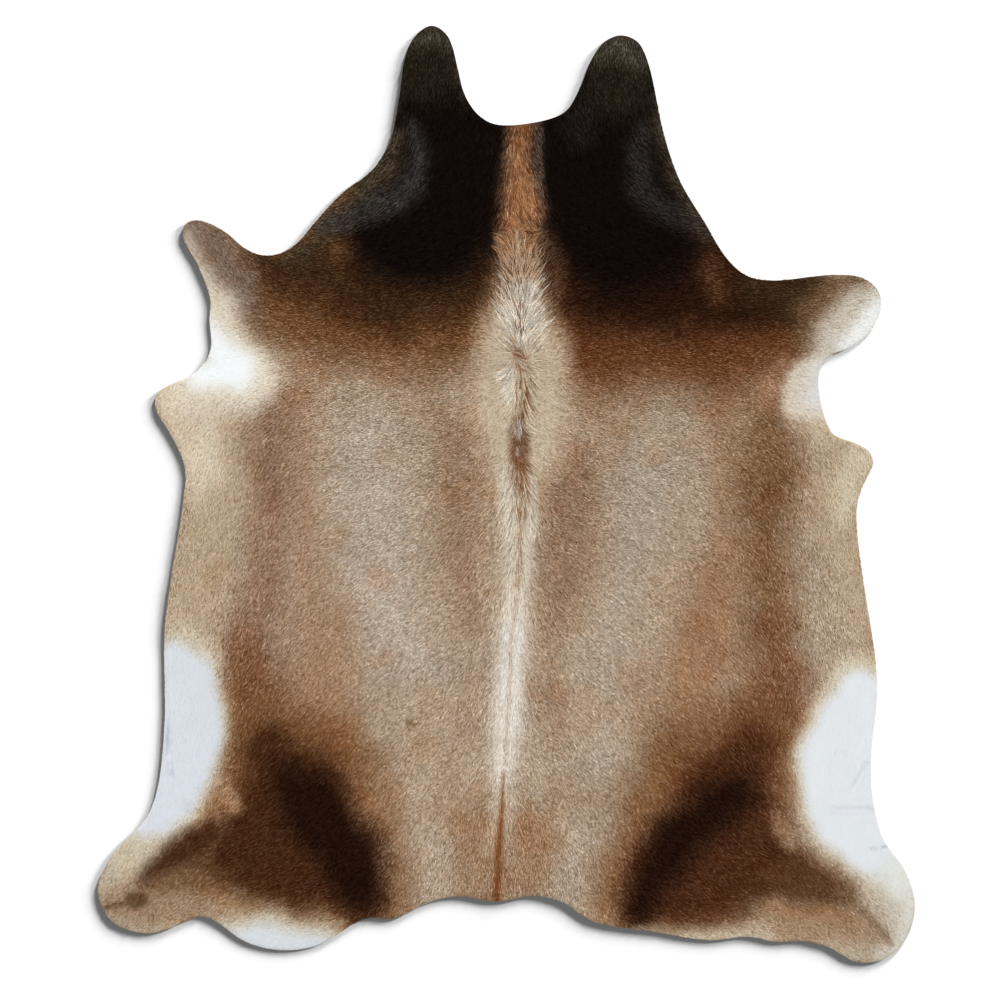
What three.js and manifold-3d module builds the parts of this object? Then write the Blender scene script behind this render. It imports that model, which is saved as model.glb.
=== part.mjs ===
// Cowhide rug: one whole hide with its short coat on, lying flat, hair side up.
// Millimetres, +Z up, +Y towards the neck. The origin is on the floor under the middle of the hide.

import * as THREE from "three";
import { mergeVertices } from "three/addons/utils/BufferGeometryUtils.js";
import loadManifold from "manifold-3d";

const wasm = await loadManifold();
wasm.setup();

// Driving dimensions
const HIDE_LENGTH = 2150; // from the ear tips to the hind legs
const HIDE_WIDTH = 1875; // across the hind legs
const LEATHER = 2.0; // tanned skin
const COAT_ON_BACK = 2.8; // lying hair beside the spine
const COAT_ON_BELLY = 2.2; // lying hair along the flanks
const BELLY_REACH = 900; // from the spine to where the coat is thinnest

// Rim: the cut edge of the leather, and the hair that rolls over it
const EDGE_HEIGHT = 1.9;
const RIM_INSET = 12;
const RIM_RISE = 7;
const RIM_STEPS = 6;

// Faceting
const TURN_PER_FACET = THREE.MathUtils.degToRad(7);
const LONGEST_FACET = 55;
const CURVE_SAMPLES = 6000;
const SLAB_REACH = 0.52 * HIDE_LENGTH; // a little past the hide on all sides
const SLAB_ROWS = 60;
const SLAB_COLUMNS = 16;
const CREST_SHARE = 3 / 8; // the share of the columns that lies on the crest
const SIDE_SPREAD = 1.5; // how the other columns draw apart towards the sides

const HIDE_COLOR = 0x957860;
const HIDE_ROUGHNESS = 0.75;

// The outline, clockwise from the nape as seen from above: x to the right, y to the neck
const OUTLINE = [
  { stretch: "nape", points: [[-14, 848], [128, 874]] },
  { stretch: "right ear, inner side", points: [[163, 921], [197, 1002]] },
  { stretch: "right ear tip", points: [[225, 1039], [262, 1054], [301, 1039]] },
  { stretch: "right side of the neck", points: [[326, 988], [361, 827], [397, 721], [453, 627]] },
  { stretch: "right shoulder bay", points: [[505, 542], [549, 503], [602, 491]] },
  { stretch: "right foreleg, front", points: [[756, 504], [818, 496], [850, 471]] },
  { stretch: "right foreleg, back", points: [[860, 434], [839, 381], [791, 340]] },
  { stretch: "right armpit", points: [[738, 314], [717, 277], [722, 206], [749, 139]] },
  { stretch: "right elbow", points: [[798, 118], [832, 98], [841, 70], [821, 29]] },
  { stretch: "right flank", points: [[804, -28], [809, -127], [848, -392], [850, -472]] },
  { stretch: "right groin", points: [[837, -592], [839, -691], [864, -790]] },
  { stretch: "right hind leg", points: [[913, -863], [937, -944], [915, -1024], [864, -1069], [802, -1073]] },
  { stretch: "right thigh", points: [[733, -1038], [676, -1026], [620, -1028], [556, -1016], [464, -1024]] },
  { stretch: "right rump", points: [[354, -1007], [200, -981], [128, -937], [66, -922]] },
  { stretch: "tail root", points: [[-21, -935], [-111, -923]] },
  { stretch: "left rump", points: [[-175, -936], [-254, -973], [-325, -975]] },
  { stretch: "left thigh", points: [[-428, -1034], [-513, -1047], [-596, -1029], [-672, -978]] },
  { stretch: "left hind notch", points: [[-704, -969], [-755, -991]] },
  { stretch: "left hind leg", points: [[-826, -1008], [-904, -981], [-937, -909], [-907, -833]] },
  { stretch: "left groin", points: [[-826, -744], [-799, -668], [-784, -518]] },
  { stretch: "left flank", points: [[-783, -300], [-741, -12], [-737, 61]] },
  { stretch: "left elbow", points: [[-769, 135], [-803, 195], [-801, 231]] },
  { stretch: "left armpit", points: [[-704, 287], [-678, 335], [-681, 397], [-679, 448]] },
  { stretch: "left foreleg", points: [[-707, 524], [-741, 590], [-737, 619], [-709, 629], [-651, 606]] },
  { stretch: "left shoulder bay", points: [[-589, 558], [-543, 548], [-493, 566]] },
  { stretch: "left side of the neck", points: [[-417, 650], [-373, 694], [-309, 744], [-270, 802]] },
  { stretch: "left ear, outer side", points: [[-249, 889], [-233, 1000]] },
  { stretch: "left ear tip", points: [[-212, 1049], [-173, 1076], [-136, 1054]] },
  { stretch: "left ear, inner side", points: [[-93, 912], [-58, 866]] },
];

// The crest of hair along the spine, from the nape to the tail. It sinks at the two whorls that the
// hair grows out from, and stands highest where the coats of neck and back meet.
const SPINE = [
  { place: "nape", along: 850, across: 32, rise: 0.6, halfWidth: 50 },
  { place: "neck", along: 700, across: 32, rise: 0.9, halfWidth: 55 },
  { place: "meeting of the coats", along: 592, across: 48, rise: 2.2, halfWidth: 55 },
  { place: "fan", along: 480, across: 34, rise: 0.9, halfWidth: 80 },
  { place: "first whorl", along: 305, across: 29, rise: 0.1, halfWidth: 70 },
  { place: "parting", along: 190, across: 32, rise: 1.5, halfWidth: 55 },
  { place: "second whorl", along: 80, across: 27, rise: 0.3, halfWidth: 60 },
  { place: "withers", along: -80, across: 21, rise: 1.2, halfWidth: 60 },
  { place: "back", along: -242, across: 13, rise: 1.0, halfWidth: 55 },
  { place: "loin", along: -518, across: 2, rise: 1.0, halfWidth: 55 },
  { place: "croup", along: -656, across: -7, rise: 1.1, halfWidth: 50 },
  { place: "tail root", along: -935, across: -21, rise: 1.6, halfWidth: 45 },
];

// The smooth closed outline, fitted to the hide's length and width with its middle at the origin.
function outlineCurve() {
  const drawn = OUTLINE.flatMap((row) => row.points.map(([x, y]) => new THREE.Vector3(x, y, 0)));
  const rough = new THREE.CatmullRomCurve3(drawn, true, "centripetal");
  const box = new THREE.Box3().setFromPoints(rough.getPoints(CURVE_SAMPLES));
  const size = box.getSize(new THREE.Vector3());
  const fit = new THREE.Vector3(HIDE_WIDTH / size.x, HIDE_LENGTH / size.y, 1);
  const middle = box.getCenter(new THREE.Vector3());
  const fitted = drawn.map((point) => point.clone().sub(middle).multiply(fit));
  return new THREE.CatmullRomCurve3(fitted, true, "centripetal");
}

// Corners along a closed curve: a new one wherever it has turned or run far enough since the last.
function facetCorners(curve) {
  const samples = curve.getPoints(CURVE_SAMPLES).slice(0, -1);
  const heading = (from, to) => Math.atan2(to.y - from.y, to.x - from.x);
  const corners = [samples[0]];
  let cornerHeading = heading(samples[0], samples[1]);
  for (let i = 1; i + 1 < samples.length; i += 1) {
    const direction = heading(samples[i], samples[i + 1]);
    const change = direction - cornerHeading;
    const turn = Math.abs(Math.atan2(Math.sin(change), Math.cos(change)));
    const run = samples[i].distanceTo(corners.at(-1));
    if (turn > TURN_PER_FACET || run > LONGEST_FACET) {
      corners.push(samples[i]);
      cornerHeading = direction;
    }
  }
  return corners.map((corner) => new THREE.Vector2(corner.x, corner.y));
}

// Where the crest runs, how high it stands and how wide it is, at a distance along the hide.
function crestAt(along) {
  const last = SPINE.length - 1;
  const after = SPINE.findIndex((row) => row.along <= along);
  const below = after === -1 ? last : Math.max(after, 1);
  const upper = SPINE[below - 1];
  const lower = SPINE[below];
  const share = THREE.MathUtils.smoothstep(along, lower.along, upper.along);
  const mixed = (column) => THREE.MathUtils.lerp(lower[column], upper[column], share);
  return { across: mixed("across"), rise: mixed("rise"), halfWidth: mixed("halfWidth") };
}

// Height of the lying coat above the floor, at a distance to the side of the crest's line.
function coatHeight(crest, side) {
  const toBelly = THREE.MathUtils.smoothstep(Math.abs(side), 0, BELLY_REACH);
  const coat = THREE.MathUtils.lerp(COAT_ON_BACK, COAT_ON_BELLY, toBelly);
  const slope = Math.max(0, 1 - (side / crest.halfWidth) ** 2);
  return LEATHER + coat + crest.rise * slope ** 2;
}

// Distance to the side of the crest's line of a column, from its share of the way to the slab's side.
function columnSide(share, crest) {
  const width = Math.abs(share);
  if (width <= CREST_SHARE) {
    return (share / CREST_SHARE) * crest.halfWidth;
  }
  const outward = ((width - CREST_SHARE) / (1 - CREST_SHARE)) ** SIDE_SPREAD;
  return Math.sign(share) * THREE.MathUtils.lerp(crest.halfWidth, SLAB_REACH, outward);
}

// A slab larger than the hide, with the coat's relief on top.
function coatSlab() {
  const slab = new THREE.BoxGeometry(2, 2, 2, SLAB_COLUMNS, SLAB_ROWS);
  const corners = slab.attributes.position;
  for (let i = 0; i < corners.count; i += 1) {
    const along = corners.getY(i) * SLAB_REACH;
    const crest = crestAt(along);
    const side = columnSide(corners.getX(i), crest);
    const height = corners.getZ(i) > 0 ? coatHeight(crest, side) : -RIM_RISE;
    corners.setXYZ(i, crest.across + side, along, height);
  }
  return slab;
}

// The outline raised to above the coat, its upper rim rounded inwards.
function rimBody() {
  return new THREE.ExtrudeGeometry(new THREE.Shape(facetCorners(outlineCurve())), {
    depth: EDGE_HEIGHT,
    bevelEnabled: true,
    bevelThickness: RIM_RISE,
    bevelSize: RIM_INSET,
    bevelOffset: -RIM_INSET,
    bevelSegments: RIM_STEPS,
  });
}

// A block that stands on the floor and is larger than the hide: it cuts the hide flat below.
function spaceAboveFloor() {
  const block = new THREE.BoxGeometry(2 * SLAB_REACH, 2 * SLAB_REACH, SLAB_REACH);
  return block.translate(0, 0, SLAB_REACH / 2);
}

function toSolid(geometry) {
  const bare = geometry.clone();
  bare.deleteAttribute("normal");
  bare.deleteAttribute("uv");
  const merged = mergeVertices(bare);
  const vertProperties = new Float32Array(merged.attributes.position.array);
  const triVerts = new Uint32Array(merged.index.array);
  return new wasm.Manifold(new wasm.Mesh({ numProp: 3, vertProperties, triVerts }));
}

function toGeometry(solid) {
  const mesh = solid.getMesh();
  const corners = new Float32Array(mesh.vertProperties);
  const geometry = new THREE.BufferGeometry();
  geometry.setAttribute("position", new THREE.BufferAttribute(corners, mesh.numProp));
  geometry.setIndex(Array.from(mesh.triVerts));
  geometry.computeVertexNormals();
  return geometry;
}

function hide() {
  const solid = toSolid(rimBody()).intersect(toSolid(coatSlab())).intersect(toSolid(spaceAboveFloor()));
  const material = new THREE.MeshStandardMaterial({
    color: HIDE_COLOR,
    roughness: HIDE_ROUGHNESS,
    metalness: 0,
  });
  const mesh = new THREE.Mesh(toGeometry(solid), material);
  mesh.name = "hide";
  return mesh;
}

const rug = new THREE.Group();
rug.add(hide());

export default rug;
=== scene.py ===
"""Cowhide rug, seen from straight above: the skin, its combed coat, and a plain studio around it.

Sizes are in millimetres in the hide's own frame: x to the right, y towards the neck, z up from the
floor. Meshes are made in metres, and so the camera and the materials are in metres too. Colours in
the tables are as seen, from 0 to 255.
"""

import math
from typing import NamedTuple

import bmesh
import bpy
import numpy as np
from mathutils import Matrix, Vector
from mathutils.bvhtree import BVHTree
from mathutils.geometry import delaunay_2d_cdt
from mathutils.kdtree import KDTree


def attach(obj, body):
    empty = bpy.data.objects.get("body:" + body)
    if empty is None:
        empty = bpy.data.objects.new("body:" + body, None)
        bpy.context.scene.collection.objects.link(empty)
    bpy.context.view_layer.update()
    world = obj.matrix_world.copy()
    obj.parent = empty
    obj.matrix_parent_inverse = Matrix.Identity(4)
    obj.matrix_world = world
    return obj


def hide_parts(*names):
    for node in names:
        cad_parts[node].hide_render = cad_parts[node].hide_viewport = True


class Wave(NamedTuple):
    """Smooth noise: the size of its cells, how strong it is, and what tells it from other noise."""

    cell: float
    amount: float
    seed: int


class Hair(NamedTuple):
    """A coat colour, and how strongly single locks of it differ from each other."""

    red: int
    green: int
    blue: int
    grain: float


class Mark(NamedTuple):
    """A brushed marking along a path of points, each with x, y and the marking's half width there."""

    name: str
    colour: str
    softness: float  # the width of its fading edge
    strength: float  # how much of it covers what lies below
    path: list


class Comb(NamedTuple):
    """How the hair lies around a place, given to the side of the spine and along it."""

    name: str
    side: float
    along: float
    turn: float  # degrees from straight outward, positive towards the neck
    reach: float  # how far around the place this counts
    hair: float  # the length of the hair
    half: str = "both"


class Tuft(NamedTuple):
    """Long strands that grow around a place."""

    name: str
    colour: str
    x: float
    y: float
    half_width: float
    half_length: float
    hair: float  # the length of the strands
    count: int


class Whorl(NamedTuple):
    """A place that the hair turns round, by a twist in degrees at its middle."""

    name: str
    x: float
    y: float
    reach: float
    twist: float


class Stop(NamedTuple):
    """A place that the parting runs through."""

    name: str
    along: float
    across: float


class Crease(NamedTuple):
    """A soft trough in the skin along a path, with its depth and half width."""

    name: str
    depth: float
    half_width: float
    path: list


class CoatPiece(NamedTuple):
    """A stretch of the coat, down to its lower end."""

    name: str
    lower: float


class Sun(NamedTuple):
    """A soft distant light. Its angles are in degrees, and its bearing is measured from +x."""

    name: str
    strength: float
    width: float
    bearing: float
    height: float


MM = 0.001
SEED = 20
TINY = 1e-6
FULL_TONE = 255

# Photograph
FIELD_OF_VIEW = 2.296  # metres across the picture
VIEW_CENTRE = (-0.0147, -0.0136)
LENS = 85.0
SENSOR = 36.0
VIEW_LIMIT = 50.0  # metres

# Studio
WHITE = (1.0, 1.0, 1.0, 1.0)
AMBIENT = 0.16
KEY_LIGHT = Sun("key light", 3.7, 75, 80, 60)
FLOOR_LIGHTS = [
    Sun("upper floor light", 13.1, 7, 61, 6.7),
    Sun("right floor light", 13.1, 7, 29, 6.7),
]
FLOOR_TONE = 0.9
FLOOR_HALF_SIZE = 40000.0
FLOOR_DROP = 0.3  # how far the floor lies below the hide

# Noise, and the grid that distances and heights are kept on
LATTICE = 256  # cells of noise before it repeats
FIELD_STEP = 6.0
FIELD_MARGIN = 30.0
LAST_CELL = 1.001  # keeps what is read inside the last cell of the grid
OUTLINE_SAMPLES = 80  # between two corners, before the points are spread evenly
FINE_STEP = 1.0  # between the points of the outline that distances are measured to
SOLID_RIM = 14.0  # closer to the outline than this, the solid's top slopes down
ABOVE_HIDE = 50.0
FACES_DOWN = -0.9  # a face whose normal is lower than this belongs to the underside
INSIDE_ONLY = 1  # the triangulation keeps what is inside the border

# Skin
OUTLINE_STEP = 4.0
SKIN_STEP = 12.0
UNDERSIDE_STEP = 40.0
RIM_RINGS = (1.2, 3.0, 5.5, 9.0)
PROBE = 3.0  # tells which side of the outline is inside
RING_SHARE = 0.8  # a ring's point is left out where it comes closer to the edge than this share
EDGE_HEIGHT = 1.2
RIM_INSET = 8.0
COAT_DEPTH = 1.9  # how far the skin lies below the top of the coat
SKIN_SHADE = 0.9  # painted shade: the skin between the locks is darker than they are, as they shade it
SKIN_WAVES = [Wave(90, 0.25, 20), Wave(30, 0.12, 21)]

# Painting
GROUND_COLOUR = "taupe"
RAGGED_X = [Wave(60, 14, 1), Wave(17, 5, 2)]  # how far the outlines of markings are drawn aside
RAGGED_Y = [Wave(60, 14, 3), Wave(17, 5, 4)]
RAGGED_SOFTNESS = 130.0  # markings with a softer edge than this have a fully ragged outline
MOTTLE = [Wave(70, 0.03, 5), Wave(24, 0.025, 6)]
RUST = [Wave(95, 0.8, 8), Wave(38, 0.5, 9)]
RUST_LOSS = (0.03, 0.08, 0.13)  # red, green and blue that rusty patches lose
PALE_COAT = 0.5  # from this lightness on a coat counts as pale
DARK_SHARES = (1.04, 0.98, 0.84)  # how far red, green and blue follow when a dark lock gets lighter
PALE_SHARES = (0.91, 1.02, 1.14)  # the same of a pale lock
LIGHTEST = 0.86

# Combing
PARTING_WIDTH = 30.0
MEETING = [Wave(26, 12, 40)]  # how unevenly the ways of combing meet
MEETING_SCATTER = 6.0  # how far single locks run on into the other way of combing
FAR_WEIGHT = 1e-12  # what is left of the combing far from all rows
FAR_LENGTH = 14.0

# Locks. Two values are the ends of a range.
LOCK_SPACING = 2.76
LOCK_SCATTER = 0.48  # how far a root can be off its place, as a share of the spacing
LOCK_INSET = 0.6  # no lock grows closer to the edge
LOCK_CLUMPS = [Wave(32, 0.2, 30), Wave(13, 0.14, 31)]
LOCK_SWERVE = 0.09  # radians that a lock is off its neighbours' way
LOCK_LENGTHS = (0.75, 1.2)
LOCK_WIDTH = 1.3
LOCK_WIDTHS = (0.75, 1.25)
SHORT_WIDTH = 0.75  # the share of the width that a very short lock would have
FULLER_BY = 60.0  # a lock that is longer by this is wider by one full width
FULLNESS = (0.8, 1.4)
LOCK_BELLY = 0.45  # where along a lock it is widest
LOCK_TENT = 0.22  # how far a lock's sides hang below its middle
LOCK_LIFTS = (0.45, 1.0)
ROOT_DEPTH = 0.2  # how far a lock starts below the skin
BELLY_CLEARANCE = 0.35
BELLY_LIFT = 0.75
TIP_CLEARANCE = 0.3
TIP_LIFT = 1.3
ROLL = 0.25
EDGE_OVERHANG = 1.2
SHORTENED = (0.2, 1.0)  # shares of its length that a lock near the edge can keep
LEAST_GRAIN = 0.06
SAMPLE_SCATTER = 1.5  # how far from its own place a lock takes its colour
# Painted shade: a lock is darker at its root, where the coat around it shades it, and a little lighter at
# its tip
ROOT_SHADE = 0.78
TIP_SHADE = 1.06
TINT_SPREAD = 0.7
TINT_LIMITS = (0.3, 3.2)
DARKER_STRAYS = (0.8, 1.4)  # how far the darker locks stray in a dark coat and in a pale one
LIGHTER_STRAYS = (1.2, 0.35)
WARMTH_SPREAD = 0.025
GAINS = (1.22, 1.3)  # what a dark coat and a pale one gain to make up for the shade between locks
STRIP_HEIGHT = 20.0  # the locks are sorted in strips of this height, from side to side
LOCK_TRIANGLES = [(0, 1, 2), (0, 2, 3)]
LOCK_CELL = [(0.5, 0.08), (0.92, 0.45), (0.5, 0.92), (0.08, 0.45)]  # its points in its cell of the map

# Strands
STRAND_WIDTH = 2.1
STRAND_WIDTHS = (0.7, 1.25)
STRAND_LENGTHS = (0.7, 1.2)
STRAND_TAPER = (0.5, 0.95, 1.0, 0.85, 0.55, 0.0)  # from joint to joint, the last is the tip
STRAND_LIFT = (0.1, 0.7, 1.0, 1.05, 0.95, 0.7)
STRAND_RISE = 1.6
STRAND_RISES = (0.6, 1.0)
STRAND_ROOT = 0.5  # painted shade: a strand is darker at its lower end, where the coat shades it
STRAND_WAVE = 0.32  # how far a strand swings off the combing, in radians
STRAND_WAVES = (0.3, 1.0)
STRAND_TURN = 1.3  # how far the swing goes on from joint to joint, in radians
STRAND_VEER = 0.35  # how far a strand can turn from joint to joint to follow the combing
STRAND_TINT = 0.3
STRAND_OWN = 0.62  # how much of its own colour a strand has, the rest is that of the coat around it
STRAND_LIMITS = (0.4, 1.25)
STRAND_CELL_SIDES = (0.1, 0.9)  # a strand's two sides in its cell of the map
STRAND_CELL_ENDS = (0.05, 0.95)

# Hair material
FIBRE_SCALE = 420.0
FIBRE_DETAIL = 2.0
FIBRE_NOISE = (0.3, 0.62)  # the part of the noise that the tones spread over
FIBRE_TONES = (0.56, 1.28)
FIBRE_ROUGHNESS = (0.45, 0.7)
FIBRE_BUMP = 0.15
FIBRE_RELIEF = 0.0004
HAIR_SPECULAR = 0.03

# Suede material
SUEDE_DARK = (181, 161, 137)
SUEDE_PALE = (203, 187, 164)
BLOTCH_SCALE = 9.0
BLOTCH_DETAIL = 5.0
BLOTCH_NOISE = (0.3, 0.75)
NAP_SCALE = 450.0
NAP_DETAIL = 4.0
NAP_BUMP = 0.4
NAP_RELIEF = 0.0006
SUEDE_SPECULAR = 0.1
SUEDE_ROUGHNESS = 0.95

# Coat colours, with a few that are painted sheen, painted highlights and painted crease shade
PALETTE = {
    "taupe": Hair(170, 151, 130, 1.0),
    "pale taupe": Hair(180, 167, 152, 0.95),
    "grey taupe": Hair(174, 160, 142, 0.95),
    "left warm": Hair(149, 122, 98, 1.1),
    "right warm": Hair(146, 118, 94, 1.1),
    "left side": Hair(161, 130, 103, 1.0),
    "right side": Hair(153, 118, 88, 1.1),
    "left band": Hair(138, 107, 85, 1.3),
    "right band": Hair(118, 85, 55, 1.4),
    "low band": Hair(115, 78, 49, 1.35),
    "dun": Hair(148, 116, 88, 1.05),
    "tan": Hair(178, 159, 134, 0.6),
    "pale tan": Hair(201, 191, 170, 0.45),
    "cream": Hair(220, 211, 193, 0.35),
    "grey cream": Hair(202, 195, 182, 0.4),
    "armpit cream": Hair(212, 203, 189, 0.3),
    "armpit tan": Hair(170, 132, 102, 0.9),
    "left flank pale": Hair(206, 193, 174, 0.48),
    "right flank tan": Hair(180, 161, 137, 0.6),
    "halo": Hair(195, 181, 159, 0.35),
    "strip strand": Hair(178, 127, 86, 1.0),
    "tip strand": Hair(192, 146, 104, 1.0),
    "upper fan strand": Hair(216, 192, 162, 1.0),
    "fan strand": Hair(236, 229, 216, 1.0),
    "cream strand": Hair(226, 212, 185, 1.0),
    "halo strand": Hair(222, 207, 182, 1.0),
    "gap strand": Hair(110, 70, 42, 1.0),
    "whorl strand": Hair(134, 92, 58, 1.0),
    "stripe": Hair(220, 217, 210, 0.3),
    "stripe cream": Hair(207, 197, 181, 0.4),
    "tail brown": Hair(118, 72, 34, 0.7),
    "pale stripe": Hair(186, 173, 156, 0.7),
    "white": Hair(218, 222, 225, 0.04),
    "left white": Hair(209, 214, 219, 0.06),
    "armpit white": Hair(238, 241, 242, 0.04),
    "right tip white": Hair(218, 219, 214, 0.12),
    "orange brown": Hair(142, 97, 62, 1.1),
    "fan tan": Hair(163, 132, 105, 1.2),
    "whorl brown": Hair(122, 80, 54, 0.9),
    "root brown": Hair(104, 70, 46, 1.0),
    "tuft brown": Hair(84, 44, 24, 1.2),
    "strip brown": Hair(112, 74, 43, 1.1),
    # grey of the painted highlights along the parting, and of the first whorl's centre
    "part grey": Hair(186, 186, 194, 0.3),
    "part brown": Hair(98, 66, 43, 1.0),
    "silver": Hair(206, 200, 190, 0.7),
    "strip tan": Hair(170, 127, 90, 1.0),
    "left brown": Hair(106, 69, 38, 1.35),
    "right brown": Hair(99, 59, 30, 1.25),
    "hip brown": Hair(119, 82, 50, 1.0),
    "left dark": Hair(58, 34, 14, 1.35),
    "right dark": Hair(37, 16, 4, 1.6),
    "olive brown": Hair(59, 41, 21, 1.0),
    "thigh brown": Hair(86, 55, 30, 0.9),
    "thigh tan": Hair(150, 113, 78, 0.9),
    "red brown": Hair(63, 34, 14, 1.2),
    "right red brown": Hair(71, 38, 18, 1.2),
    "hip": Hair(27, 9, 1, 2.7),
    "neck": Hair(10, 3, 0, 3.4),
    "ear": Hair(28, 23, 13, 1.5),
    "ear tip": Hair(76, 70, 58, 1.5),
    # painted sheen: the grey gloss of light on the dark neck hair
    "sheen": Hair(58, 55, 52, 0.9),
    "leg brown": Hair(126, 107, 92, 1.0),
    "shank brown": Hair(114, 83, 54, 1.0),
    "leg tan": Hair(120, 93, 67, 1.0),
    "neck edge": Hair(68, 57, 41, 1.3),
    "streak brown": Hair(66, 40, 20, 0.9),
    "spot brown": Hair(84, 61, 37, 0.7),
    "hind tan": Hair(162, 136, 110, 0.9),
    "left hind tan": Hair(150, 126, 101, 0.9),
    "hind cream": Hair(188, 178, 160, 0.5),
    "light orange": Hair(184, 152, 120, 0.9),
    # painted sheen: grey where light glosses the hair beside the neck strip
    "sheen grey": Hair(90, 72, 60, 0.9),
    # painted shade of the skin's creases, its hollow and its nick
    "crease shade grey": Hair(186, 190, 200, 0.06),
    "crease shadow line": Hair(150, 158, 174, 0.06),
}

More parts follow.
